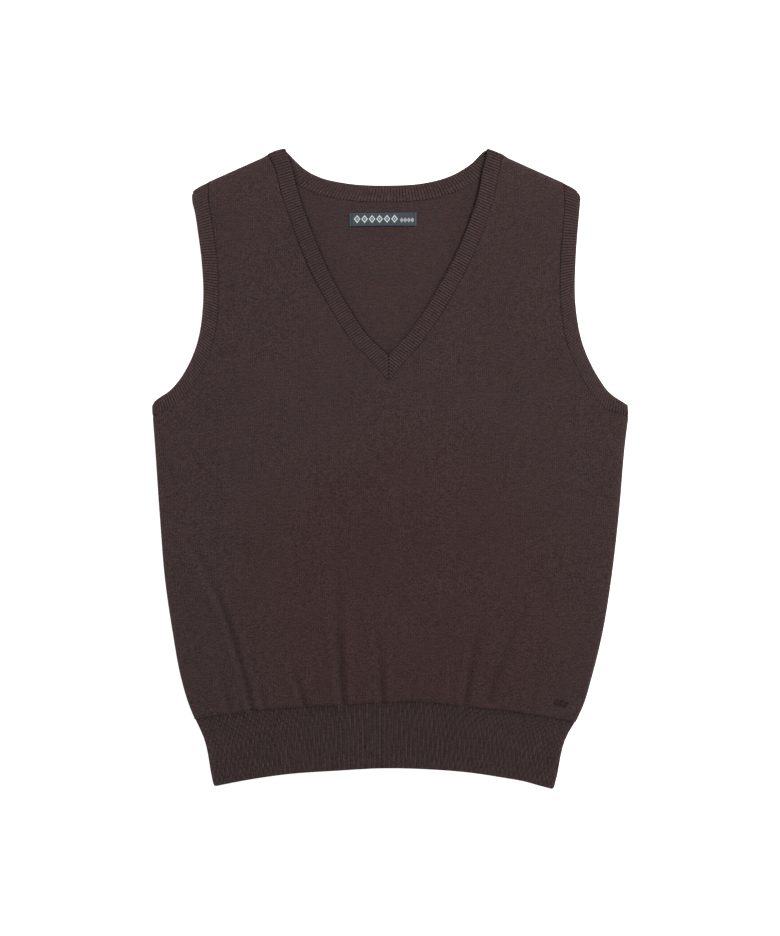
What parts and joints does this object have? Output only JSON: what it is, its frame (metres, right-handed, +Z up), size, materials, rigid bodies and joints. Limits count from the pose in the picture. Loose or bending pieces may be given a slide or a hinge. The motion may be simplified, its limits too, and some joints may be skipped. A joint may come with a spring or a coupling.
{
  "type": "knitted sweater vest",
  "caption": "Knitted V-neck sweater vest laid flat, with ribbed neck, armholes and waist and a plain woven label inside the back neck.",
  "frame": {"origin": "on the surface the vest lies on, under the middle of its bounding box", "axes": "+Z up out of the surface, +Y towards the neck, +X towards the wearer's left side"},
  "size_m": [0.4505, 0.6055, 0.0056],
  "materials": {
    "body_knit": "matt fine plain knit, dark brown",
    "rib_knit": "matt one-by-one rib knit, dark brown",
    "label_weave": "woven label, dark slate, slight sheen"
  },
  "bodies": {
    "root": {"front_panel": "body_knit", "back_panel": "body_knit", "waist_rib_front": "rib_knit", "waist_rib_back": "rib_knit", "neck_rib": "rib_knit", "armhole_rib_left": "rib_knit", "armhole_rib_right": "rib_knit", "neck_label": "label_weave"}
  },
  "joints": []
}
